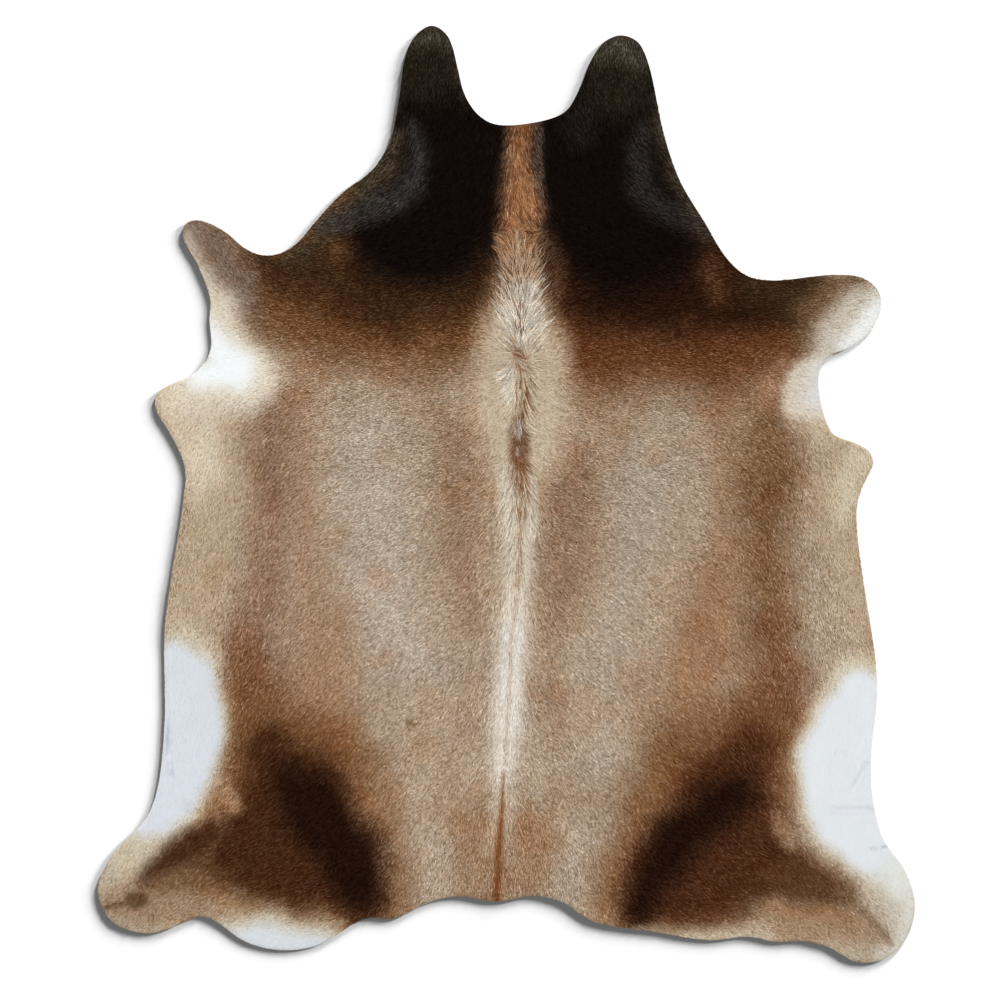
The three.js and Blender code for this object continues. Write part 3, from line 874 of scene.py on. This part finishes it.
def paint(x, y):
    """The coat's colour as seen, from 0 to 1, painted sheen and shade included, and how strongly single
    locks differ, at some places.
    """
    drift_x = noise(x, y, RAGGED_X)
    drift_y = noise(x, y, RAGGED_Y)
    mixed = np.tile(np.array(PALETTE[GROUND_COLOUR], float), (len(x), 1))
    for mark in MARKINGS:
        points = np.array(mark.path)
        reach = points[:, 2].max() + mark.softness
        ragged = min(1.0, mark.softness / RAGGED_SOFTNESS)
        ragged_x = x + ragged * drift_x
        ragged_y = y + ragged * drift_y
        near = (
            (ragged_x > points[:, 0].min() - reach) & (ragged_x < points[:, 0].max() + reach)
            & (ragged_y > points[:, 1].min() - reach) & (ragged_y < points[:, 1].max() + reach)
        )
        past = distance_to_path(ragged_x[near], ragged_y[near], mark.path)
        cover = mark.strength * smooth(0.5 - past / mark.softness)
        mixed[near] += cover[:, None] * (np.array(PALETTE[mark.colour], float) - mixed[near])
    grain = mixed[:, 3]
    calm = np.clip(grain, 0.0, 1.0)
    mottle = calm * noise(x, y, MOTTLE)
    rust = calm * smooth(noise(x, y, RUST))
    tones = mottle[:, None] - rust[:, None] * RUST_LOSS
    return mixed[:, :3] / FULL_TONE * (1 + tones), grain


def spine_x(y):
    """Where the parting runs at a distance along the hide."""
    along = [stop.along for stop in reversed(SPINE_LINE)]
    across = [stop.across for stop in reversed(SPINE_LINE)]
    return np.interp(y, along, across)


def comb(x, y):
    """Heading of the lying hair, in radians from +x, and its length."""
    y = y + noise(x, y, MEETING)
    offset = x - spine_x(y)
    outward = np.where(offset < 0, -1.0, 1.0)
    side = np.abs(offset)
    right = np.full(x.shape, FAR_WEIGHT)
    up = np.zeros(x.shape)
    length = np.full(x.shape, FAR_WEIGHT * FAR_LENGTH)
    total = np.full(x.shape, FAR_WEIGHT)
    for row in COMBING:
        gap = (side - row.side) ** 2 + (y - row.along) ** 2
        weight = np.exp(-gap / (2 * row.reach * row.reach))
        if row.half == "left":
            weight = weight * (outward < 0)
        if row.half == "right":
            weight = weight * (outward > 0)
        right += weight * math.cos(math.radians(row.turn))
        up += weight * math.sin(math.radians(row.turn))
        length += weight * row.hair
        total += weight
    heading = np.arctan2(up, right * outward * smooth(side / PARTING_WIDTH))
    for whorl in WHORLS:
        gap = np.hypot(x - whorl.x, y - whorl.y)
        heading += math.radians(whorl.twist) * np.exp(-((gap / whorl.reach) ** 2))
    return heading, length / total


def outline_corners(node):
    """The corners of the solid's flat underside, in order, in millimetres."""
    solid = bmesh.new()
    solid.from_mesh(node.data)
    bmesh.ops.remove_doubles(solid, verts=solid.verts, dist=TINY)
    below = [face for face in solid.faces if face.normal.z < FACES_DOWN]
    follows = {}
    for face in below:
        for loop in face.loops:
            if sum(other in below for other in loop.edge.link_faces) == 1:
                follows[loop.vert.index] = loop.link_loop_next.vert.index
    solid.verts.ensure_lookup_table()
    start = next(iter(follows))
    order = [start]
    while follows[order[-1]] != start:
        order.append(follows[order[-1]])
    corners = np.array([solid.verts[index].co.xy for index in order]) / MM
    solid.free()
    return corners


def smooth_outline(corners, step):
    """Evenly spaced points on the smooth closed curve through the corners."""
    after = np.roll(corners, -1, axis=0)
    chord = np.linalg.norm(after - corners, axis=1)
    chord_before = np.roll(chord, 1)
    slope = (after - corners) / chord[:, None]
    slope_before = np.roll(slope, 1, axis=0)
    share_of_next = (chord_before / (chord + chord_before))[:, None]
    tangent = slope * share_of_next + slope_before * (1 - share_of_next)
    t = np.linspace(0, 1, OUTLINE_SAMPLES, endpoint=False)[:, None]
    pieces = []
    for index in range(len(corners)):
        other = (index + 1) % len(corners)
        leaving = chord[index] * tangent[index]
        arriving = chord[index] * tangent[other]
        pieces.append(
            (2 * t**3 - 3 * t**2 + 1) * corners[index] + (t**3 - 2 * t**2 + t) * leaving
            + (3 * t**2 - 2 * t**3) * corners[other] + (t**3 - t**2) * arriving
        )
    dense = np.concatenate(pieces)
    closed = np.vstack([dense, dense[:1]])
    run = np.concatenate([[0], np.cumsum(np.linalg.norm(np.diff(closed, axis=0), axis=1))])
    places = np.linspace(0, run[-1], round(run[-1] / step), endpoint=False)
    return np.column_stack([np.interp(places, run, closed[:, axis]) for axis in (0, 1)])


def inset_field(corners):
    """How far inside the outline each place is, negative outside."""
    fine = smooth_outline(corners, FINE_STEP)
    after = np.roll(fine, -1, axis=0)
    field = Field(fine.min(axis=0), fine.max(axis=0))
    tree = KDTree(len(fine))
    for index, (x, y) in enumerate(fine):
        tree.insert((x, y, 0.0), index)
    tree.balance()
    for row, y in enumerate(field.y):
        crosses = (fine[:, 1] > y) != (after[:, 1] > y)
        start = fine[crosses]
        end = after[crosses]
        share = (y - start[:, 1]) / (end[:, 1] - start[:, 1])
        hits = np.sort(start[:, 0] + share * (end[:, 0] - start[:, 0]))
        inside = np.searchsorted(hits, field.x) % 2 == 1
        gaps = np.array([tree.find((x, y, 0.0))[2] for x in field.x])
        field.values[row] = np.where(inside, gaps, -gaps)
    return field


def coat_top_field(node, inset):
    """Height of the solid's upper face, and its usual height near the rim and past it."""
    tree = BVHTree.FromPolygons(
        [vertex.co / MM for vertex in node.data.vertices],
        [polygon.vertices for polygon in node.data.polygons],
    )
    field = Field(*inset.box)
    field.values[:] = np.nan
    for row, y in enumerate(field.y):
        for column, x in enumerate(field.x):
            if inset.values[row, column] > SOLID_RIM:
                field.values[row, column] = tree.ray_cast((x, y, ABOVE_HIDE), (0, 0, -1))[0].z
    field.values[np.isnan(field.values)] = np.nanmedian(field.values)
    return field


class Hide:
    """The lie of the hide: how far inside its outline a place is, and how high its skin is there."""

    def __init__(self, node):
        self.corners = outline_corners(node)
        self.inset = inset_field(self.corners)
        self.coat_top = coat_top_field(node, self.inset)

    def skin_height(self, x, y):
        """Height of the skin, with its waves and creases, down to the cut edge."""
        height = self.coat_top(x, y) - COAT_DEPTH + noise(x, y, SKIN_WAVES)
        for crease in CREASES:
            past = distance_to_path(x, y, [(px, py, 0.0) for px, py in crease.path])
            height = height - crease.depth * smooth(1 - past / crease.half_width)
        rise = np.clip(self.inset(x, y) / RIM_INSET, 0.0, 1.0)
        return EDGE_HEIGHT + (height - EDGE_HEIGHT) * np.sqrt(1 - (1 - rise) ** 2)


def make_mesh(name, points, triangles, smooth_shaded):
    """A mesh object from points in millimetres and a list of triangles."""
    mesh = bpy.data.meshes.new(name)
    mesh.vertices.add(len(points))
    mesh.vertices.foreach_set("co", (np.asarray(points) * MM).astype(np.float32).ravel())
    mesh.loops.add(3 * len(triangles))
    mesh.loops.foreach_set("vertex_index", np.asarray(triangles, dtype=np.int32).ravel())
    mesh.polygons.add(len(triangles))
    mesh.polygons.foreach_set("loop_start", np.arange(0, 3 * len(triangles), 3, dtype=np.int32))
    mesh.polygons.foreach_set("use_smooth", np.full(len(triangles), smooth_shaded))
    mesh.update(calc_edges=True)
    piece = bpy.data.objects.new(name, mesh)
    bpy.context.scene.collection.objects.link(piece)
    return piece


def colour_points(piece, colours):
    """Store a linear colour for each point of a piece, its fourth value being how streaked it is."""
    layer = piece.data.color_attributes.new("coat", "FLOAT_COLOR", "POINT")
    layer.data.foreach_set("color", colours.astype(np.float32).ravel())


def hex_grid(low, high, step):
    """Points of an even triangular grid over a box."""
    rows = np.arange(low[1], high[1], step * math.sqrt(3) / 2)
    columns = np.arange(low[0], high[0], step)
    x = np.tile(columns, (len(rows), 1)) + (np.arange(len(rows)) % 2)[:, None] * step / 2
    y = np.tile(rows[:, None], (1, len(columns)))
    return np.column_stack([x.ravel(), y.ravel()])


def triangulate(border, inner):
    """Points and triangles over the inside of a closed border. The border's points come first."""
    points = [Vector(point) for point in np.vstack([border, inner])]
    edges = [(index, (index + 1) % len(border)) for index in range(len(border))]
    placed, _, faces, _, _, _ = delaunay_2d_cdt(points, edges, [], INSIDE_ONLY, TINY)
    return np.array([point[:] for point in placed]), np.array([face[:] for face in faces])


def rim_points(hide, border):
    """Points in rings just inside the border, where the skin rounds off."""
    ahead = np.roll(border, -1, axis=0) - np.roll(border, 1, axis=0)
    inward = np.column_stack([-ahead[:, 1], ahead[:, 0]]) / np.linalg.norm(ahead, axis=1)[:, None]
    probe = border + PROBE * inward
    if np.median(hide.inset(*probe.T)) < 0:
        inward = -inward
    rings = []
    for depth in RIM_RINGS:
        ring = border + depth * inward
        rings.append(ring[hide.inset(*ring.T) > RING_SHARE * depth])
    return np.vstack(rings)


def inside_points(hide, border, step, least_inset):
    """Points of an even grid inside the border, away from its edge."""
    grid = hex_grid(border.min(axis=0), border.max(axis=0), step)
    return grid[hide.inset(*grid.T) > least_inset]


def edge_wall(count, shift):
    """Triangles between two borders of as many points, the second by a shift further on in the list."""
    first = np.arange(count)
    second = np.roll(first, -1)
    return np.vstack([
        np.column_stack([first, first + shift, second + shift]),
        np.column_stack([first, second + shift, second]),
    ])


def face_outwards(mesh):
    """Turn all faces of a closed mesh outwards."""
    turned = bmesh.new()
    turned.from_mesh(mesh)
    bmesh.ops.recalc_face_normals(turned, faces=turned.faces)
    turned.to_mesh(mesh)
    turned.free()


def skin_colours(top):
    """Linear colours of the skin between the locks, darkened as painted shade from the locks, and as a
    fourth value how streaked it is.
    """
    seen, grain = paint(*top.T)
    calm = np.clip(grain, 0.0, 1.0)
    return np.column_stack([to_linear(seen) * (1 - (1 - SKIN_SHADE) * calm)[:, None], calm])


def make_skin(hide):
    """The skin: one closed sheet with the hide's relief on top, a cut edge and a flat suede underside."""
    border = smooth_outline(hide.corners, OUTLINE_STEP)
    middle = inside_points(hide, border, SKIN_STEP, RIM_RINGS[-1] + 0.5 * SKIN_STEP)
    top, top_faces = triangulate(border, np.vstack([rim_points(hide, border), middle]))
    sparse = inside_points(hide, border, UNDERSIDE_STEP, 0.5 * UNDERSIDE_STEP)
    under, under_faces = triangulate(border, sparse)
    points = np.vstack([
        np.column_stack([top, hide.skin_height(*top.T)]),
        np.column_stack([under, np.zeros(len(under))]),
    ])
    shift = len(top)
    faces = np.vstack([top_faces, edge_wall(len(border), shift), under_faces[:, ::-1] + shift])
    skin = make_mesh("skin", points, faces, True)
    face_outwards(skin.data)
    colour_points(skin, np.vstack([skin_colours(top), np.ones((len(under), 4))]))
    skin.data.materials.append(coat_material())
    skin.data.materials.append(suede_material())
    slots = np.zeros(len(faces), dtype=np.int32)
    slots[len(top_faces):] = 1
    skin.data.polygons.foreach_set("material_index", slots)
    return skin


def lock_roots(hide, rng):
    """Places that the locks grow from, spread evenly with some scatter."""
    grid = hex_grid(hide.corners.min(axis=0), hide.corners.max(axis=0), LOCK_SPACING)
    grid = grid + rng.uniform(-LOCK_SCATTER, LOCK_SCATTER, grid.shape) * LOCK_SPACING
    return grid[hide.inset(*grid.T) > LOCK_INSET]


def lay_locks(hide, roots, rng):
    """Direction and length of each lock. One that would reach too far past the edge is shortened."""
    count = len(roots)
    x, y = roots.T
    heading, length = comb(x, y + rng.normal(0.0, MEETING_SCATTER, count))
    heading = heading + noise(x, y, LOCK_CLUMPS) + rng.normal(0.0, LOCK_SWERVE, count)
    length = length * rng.uniform(*LOCK_LENGTHS, count)
    ahead = np.column_stack([np.cos(heading), np.sin(heading)])
    tip = roots + length[:, None] * ahead
    inside = hide.inset(x, y)
    tip_inside = hide.inset(*tip.T)
    spare = np.clip((inside + EDGE_OVERHANG) / np.maximum(inside - tip_inside, TINY), *SHORTENED)
    return ahead, np.where(tip_inside < -EDGE_OVERHANG, length * spare, length)


def shape_locks(hide, roots, ahead, length, calm, rng):
    """Points of the locks: four each, at the root, the right side, the tip and the left side."""
    count = len(roots)
    tip = roots + length[:, None] * ahead
    middle = roots + LOCK_BELLY * length[:, None] * ahead
    fullness = np.clip(SHORT_WIDTH + length / FULLER_BY, *FULLNESS)
    width = LOCK_WIDTH * rng.uniform(*LOCK_WIDTHS, count) * fullness
    aside = 0.5 * width[:, None] * np.column_stack([-ahead[:, 1], ahead[:, 0]])
    lift = rng.uniform(*LOCK_LIFTS, count) * calm
    roll = rng.normal(0.0, ROLL, count) * width * calm
    root_height = hide.skin_height(*roots.T) - ROOT_DEPTH
    middle_height = hide.skin_height(*middle.T) + BELLY_CLEARANCE + BELLY_LIFT * lift
    tip_height = hide.skin_height(*tip.T) + TIP_CLEARANCE + TIP_LIFT * lift
    side_height = middle_height - LOCK_TENT * calm
    points = np.empty((count, 4, 3))
    points[:, 0] = np.column_stack([roots, root_height])
    points[:, 1] = np.column_stack([middle - aside, side_height - roll])
    points[:, 2] = np.column_stack([tip, tip_height])
    points[:, 3] = np.column_stack([middle + aside, side_height + roll])
    return points


def colour_locks(seen, grain, calm, rng):
    """Linear colours of the locks' four points, and as a fourth value how streaked they are."""
    count = len(seen)
    pale = np.clip(seen.mean(axis=1) / PALE_COAT, 0.0, 1.0)
    stray = rng.normal(0.0, TINT_SPREAD, count)
    stray = stray * np.where(stray < 0, between(DARKER_STRAYS, pale), between(LIGHTER_STRAYS, pale))
    tint = np.clip(np.exp(stray * grain), *TINT_LIMITS)
    warmth = 1 + rng.normal(0.0, WARMTH_SPREAD, count) * calm
    gain = 1 + (between(GAINS, pale) - 1) * calm
    lit = to_seen(to_linear(seen) * gain[:, None])
    lock = lighten(lit, tint) * np.column_stack([warmth, np.ones(count), 2 - warmth])
    lock = np.minimum(lock, LIGHTEST)
    colours = np.empty((count, 4, 4))
    colours[:, :, :3] = lock[:, None, :]
    # painted shade at the root, a little lighter at the tip
    colours[:, 0, :3] *= (1 - (1 - ROOT_SHADE) * calm)[:, None]
    colours[:, 2, :3] *= (1 + (TIP_SHADE - 1) * calm)[:, None]
    colours[:, :, 3] = calm[:, None]
    return colours


def grow_locks(hide, roots, rng):
    """Points and colours of the locks that grow from the roots."""
    ahead, length = lay_locks(hide, roots, rng)
    sample = roots + 0.5 * length[:, None] * ahead + rng.normal(0.0, SAMPLE_SCATTER, roots.shape)
    seen, grain = paint(*sample.T)
    calm = np.clip(grain, LEAST_GRAIN, 1.0)
    points = shape_locks(hide, roots, ahead, length, calm, rng)
    return points, colour_locks(seen, grain, calm, rng)


def plant_strands(rng):
    """Roots and lengths of the mane's strands, and their own colours as seen, from 0 to 1."""
    roots = []
    lengths = []
    shades = []
    for tuft in MANE:
        across = rng.triangular(-1.0, 0.0, 1.0, tuft.count) * tuft.half_width + tuft.x
        along = rng.uniform(-1.0, 1.0, tuft.count) * tuft.half_length + tuft.y
        roots.append(np.column_stack([across, along]))
        lengths.append(tuft.hair * rng.uniform(*STRAND_LENGTHS, tuft.count))
        shades.append(np.tile(PALETTE[tuft.colour][:3], (tuft.count, 1)))
    return np.concatenate(roots), np.concatenate(lengths), np.concatenate(shades) / FULL_TONE


def grow_strands(hide, rng):
    """Points and colours of the mane's strands: ribbons that follow the combing in soft waves."""
    place, length, own = plant_strands(rng)
    count = len(place)
    joints = len(STRAND_TAPER)
    stride = length / (joints - 1)
    phase = rng.uniform(0.0, 2 * math.pi, count)
    swing = STRAND_WAVE * rng.uniform(*STRAND_WAVES, count)
    width = STRAND_WIDTH * rng.uniform(*STRAND_WIDTHS, count)
    rise = STRAND_RISE * rng.uniform(*STRAND_RISES, count)
    tint = np.clip(np.exp(rng.normal(0.0, STRAND_TINT, count)), *STRAND_LIMITS)
    # painted shade: darker at the root, lighter towards the tip
    shade = np.linspace(STRAND_ROOT, TIP_SHADE, joints)
    points = np.empty((count, 2 * joints - 1, 3))
    colours = np.ones((count, 2 * joints - 1, 4))
    course, _ = comb(*place.T)
    for joint, taper in enumerate(STRAND_TAPER):
        wanted, _ = comb(*place.T)
        veer = (wanted - course + math.pi) % (2 * math.pi) - math.pi
        course = course + np.clip(veer, -STRAND_VEER, STRAND_VEER)
        heading = course + swing * np.sin(phase + STRAND_TURN * joint)
        ahead = np.column_stack([np.cos(heading), np.sin(heading)])
        height = hide.skin_height(*place.T) + rise * STRAND_LIFT[joint]
        around, _ = paint(*place.T)
        mixed = to_linear(STRAND_OWN * own + (1 - STRAND_OWN) * around) * tint[:, None]
        pair = slice(2 * joint, 2 * joint + 2)
        colours[:, pair, :3] = np.minimum(mixed * shade[joint], LIGHTEST)[:, None, :]
        half = 0.5 * width[:, None] * taper * np.column_stack([-ahead[:, 1], ahead[:, 0]])
        points[:, 2 * joint] = np.column_stack([place + half, height])
        if joint < joints - 1:
            points[:, 2 * joint + 1] = np.column_stack([place - half, height])
        place = place + stride[:, None] * ahead
    return points, colours


def cell_map(piece, count, cell, corners):
    """Give each of many like blades a small cell of its own in the map that its colours are kept in."""
    across = math.ceil(math.sqrt(count))
    column = np.arange(count) % across
    row = np.arange(count) // across
    start = np.column_stack([column, row]) / across
    places = start[:, None, :] + np.array(cell)[None, :, :] / across
    layer = piece.data.uv_layers.new(name="OFBake")
    layer.uv.foreach_set("vector", places[:, np.ravel(corners)].astype(np.float32).ravel())


def make_blades(name, points, colours, cell, corners):
    """One joined piece of many like blades: the points of each, and the corners of its triangles."""
    count, size, _ = points.shape
    triangles = (size * np.arange(count)[:, None, None] + np.array(corners)[None, :, :]).reshape(-1, 3)
    piece = make_mesh(name, points.reshape(-1, 3), triangles, False)
    colour_points(piece, colours.reshape(-1, 4))
    cell_map(piece, count, cell, corners)
    piece.data.materials.append(coat_material())
    return piece


def make_mane(hide):
    """The long wavy strands along the spine, as one joined piece."""
    points, colours = grow_strands(hide, np.random.default_rng(SEED + 1))
    tip = points.shape[1] - 1
    corners = []
    for left in range(0, tip - 2, 2):
        corners += [(left, left + 1, left + 3), (left, left + 3, left + 2)]
    corners.append((tip - 2, tip - 1, tip))
    cell = []
    for index in range(tip):
        up = between(STRAND_CELL_ENDS, (index // 2) / (tip // 2))
        cell.append((STRAND_CELL_SIDES[index % 2], up))
    cell.append((0.5, STRAND_CELL_ENDS[1]))
    return make_blades("mane", points, colours, cell, corners)


def make_coat(hide):
    """The coat: joined pieces of many small locks, each a slim tented blade along the combing."""
    rng = np.random.default_rng(SEED)
    roots = lock_roots(hide, rng)
    roots = roots[np.lexsort((roots[:, 0], np.floor(roots[:, 1] / STRIP_HEIGHT)))]
    points, colours = grow_locks(hide, roots, rng)
    pieces = []
    upper = np.inf
    for row in COAT_PIECES:
        chosen = (roots[:, 1] < upper) & (roots[:, 1] >= row.lower)
        upper = row.lower
        pieces.append(make_blades(row.name, points[chosen], colours[chosen], LOCK_CELL, LOCK_TRIANGLES))
    return pieces


def new_material(name):
    """A node material with its shader."""
    material = bpy.data.materials.new(name)
    material.use_nodes = True
    return material, material.node_tree.nodes, material.node_tree.links


def set_inputs(node, values):
    """Set some of a node's inputs by their names."""
    for name, value in values.items():
        node.inputs[name].default_value = value


def add_node(nodes, kind, values):
    """A new node with some of its inputs set."""
    node = nodes.new(kind)
    set_inputs(node, values)
    return node


def coat_material():
    """Short hair: the coat's own colours, with fine streaks in tone, gloss and relief."""
    if "coat" in bpy.data.materials:
        return bpy.data.materials["coat"]
    material, nodes, links = new_material("coat")
    shader = nodes["Principled BSDF"]
    set_inputs(shader, {"Specular IOR Level": HAIR_SPECULAR})
    colour = nodes.new("ShaderNodeVertexColor")
    colour.layer_name = "coat"
    place = nodes.new("ShaderNodeTexCoord")
    fibres = add_node(nodes, "ShaderNodeTexNoise", {"Scale": FIBRE_SCALE, "Detail": FIBRE_DETAIL})
    links.new(place.outputs["Object"], fibres.inputs["Vector"])
    tone = add_node(nodes, "ShaderNodeMapRange", {
        "From Min": FIBRE_NOISE[0],
        "From Max": FIBRE_NOISE[1],
        "To Min": FIBRE_TONES[0],
        "To Max": FIBRE_TONES[1],
    })
    links.new(fibres.outputs["Fac"], tone.inputs["Value"])
    calmed = add_node(nodes, "ShaderNodeMix", {"A": 1.0})
    links.new(colour.outputs["Alpha"], calmed.inputs["Factor"])
    links.new(tone.outputs["Result"], calmed.inputs["B"])
    streaked = nodes.new("ShaderNodeVectorMath")
    streaked.operation = "SCALE"
    links.new(colour.outputs["Color"], streaked.inputs[0])
    links.new(calmed.outputs["Result"], streaked.inputs["Scale"])
    links.new(streaked.outputs["Vector"], shader.inputs["Base Color"])
    gloss = add_node(nodes, "ShaderNodeMapRange", {
        "To Min": FIBRE_ROUGHNESS[0],
        "To Max": FIBRE_ROUGHNESS[1],
    })
    links.new(fibres.outputs["Fac"], gloss.inputs["Value"])
    links.new(gloss.outputs["Result"], shader.inputs["Roughness"])
    bump = add_node(nodes, "ShaderNodeBump", {"Strength": FIBRE_BUMP, "Distance": FIBRE_RELIEF})
    links.new(fibres.outputs["Fac"], bump.inputs["Height"])
    links.new(bump.outputs["Normal"], shader.inputs["Normal"])
    return material


def suede_material():
    """The flesh side of the skin: pale suede with a soft nap and faint blotches."""
    material, nodes, links = new_material("suede")
    shader = nodes["Principled BSDF"]
    set_inputs(shader, {"Specular IOR Level": SUEDE_SPECULAR, "Roughness": SUEDE_ROUGHNESS})
    place = nodes.new("ShaderNodeTexCoord")
    blotches = add_node(nodes, "ShaderNodeTexNoise", {"Scale": BLOTCH_SCALE, "Detail": BLOTCH_DETAIL})
    links.new(place.outputs["Object"], blotches.inputs["Vector"])
    ramp = nodes.new("ShaderNodeValToRGB")
    stops = zip(ramp.color_ramp.elements, BLOTCH_NOISE, (SUEDE_DARK, SUEDE_PALE))
    for stop, position, colour in stops:
        stop.position = position
        stop.color = (*to_linear(np.array(colour) / FULL_TONE), 1.0)
    links.new(blotches.outputs["Fac"], ramp.inputs["Fac"])
    links.new(ramp.outputs["Color"], shader.inputs["Base Color"])
    nap = add_node(nodes, "ShaderNodeTexNoise", {"Scale": NAP_SCALE, "Detail": NAP_DETAIL})
    links.new(place.outputs["Object"], nap.inputs["Vector"])
    bump = add_node(nodes, "ShaderNodeBump", {"Strength": NAP_BUMP, "Distance": NAP_RELIEF})
    links.new(nap.outputs["Fac"], bump.inputs["Height"])
    links.new(bump.outputs["Normal"], shader.inputs["Normal"])
    return material


def floor_material():
    """A plain pale floor."""
    material, nodes, _ = new_material("floor")
    set_inputs(nodes["Principled BSDF"], {
        "Base Color": (FLOOR_TONE, FLOOR_TONE, FLOOR_TONE, 1.0),
        "Roughness": 1.0,
        "Specular IOR Level": 0.0,
    })
    return material


def make_floor():
    """A wide plain floor just under the hide."""
    square = [(-1, -1), (1, -1), (1, 1), (-1, 1)]
    corners = [(x * FLOOR_HALF_SIZE, y * FLOOR_HALF_SIZE, -FLOOR_DROP) for x, y in square]
    floor = make_mesh("floor", corners, [(0, 1, 2), (0, 2, 3)], False)
    floor.data.materials.append(floor_material())
    return floor


def add_sun(sun, lit):
    """A soft distant light that lights only the given objects."""
    light = bpy.data.lights.new(sun.name, "SUN")
    light.energy = sun.strength
    light.angle = math.radians(sun.width)
    lamp = bpy.data.objects.new(sun.name, light)
    rise = math.radians(sun.height)
    turn = math.radians(sun.bearing)
    towards = Vector((math.cos(turn) * math.cos(rise), math.sin(turn) * math.cos(rise), math.sin(rise)))
    lamp.rotation_euler = towards.to_track_quat("Z", "Y").to_euler()
    bpy.context.scene.collection.objects.link(lamp)
    receivers = bpy.data.collections.new(sun.name + " receivers")
    for piece in lit:
        receivers.objects.link(piece)
    lamp.light_linking.receiver_collection = receivers


def add_world():
    """Even light from all round, and a white surround for the camera."""
    world = bpy.data.worlds.new("studio")
    world.use_nodes = True
    bpy.context.scene.world = world
    nodes = world.node_tree.nodes
    links = world.node_tree.links
    ambient = nodes["Background"]
    set_inputs(ambient, {"Color": WHITE, "Strength": AMBIENT})
    surround = add_node(nodes, "ShaderNodeBackground", {"Color": WHITE})
    seen = nodes.new("ShaderNodeLightPath")
    mixed = nodes.new("ShaderNodeMixShader")
    links.new(seen.outputs["Is Camera Ray"], mixed.inputs["Fac"])
    links.new(ambient.outputs["Background"], mixed.inputs[1])
    links.new(surround.outputs["Background"], mixed.inputs[2])
    links.new(mixed.outputs["Shader"], nodes["World Output"].inputs["Surface"])


def add_camera():
    """The photograph's camera, straight above the hide."""
    camera = bpy.data.cameras.new("camera")
    camera.lens = LENS
    camera.sensor_width = SENSOR
    camera.clip_end = VIEW_LIMIT
    stand = bpy.data.objects.new("camera", camera)
    stand.location = (*VIEW_CENTRE, FIELD_OF_VIEW * LENS / SENSOR)
    bpy.context.scene.collection.objects.link(stand)
    bpy.context.scene.camera = stand


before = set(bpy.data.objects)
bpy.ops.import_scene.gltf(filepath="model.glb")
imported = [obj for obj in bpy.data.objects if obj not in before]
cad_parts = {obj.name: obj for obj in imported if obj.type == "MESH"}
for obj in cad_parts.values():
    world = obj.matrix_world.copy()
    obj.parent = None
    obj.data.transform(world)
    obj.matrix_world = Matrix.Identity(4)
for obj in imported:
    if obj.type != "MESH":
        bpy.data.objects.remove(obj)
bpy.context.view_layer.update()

hide = Hide(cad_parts["hide"])
skin = make_skin(hide)
coat = [*make_coat(hide), make_mane(hide)]
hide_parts("hide")
for piece in [skin, *coat]:
    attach(piece, "root")

floor = make_floor()
bpy.context.scene.view_settings.view_transform = "Standard"
add_world()
add_sun(KEY_LIGHT, [skin, *coat])
for floor_light in FLOOR_LIGHTS:
    add_sun(floor_light, [floor])
add_camera()
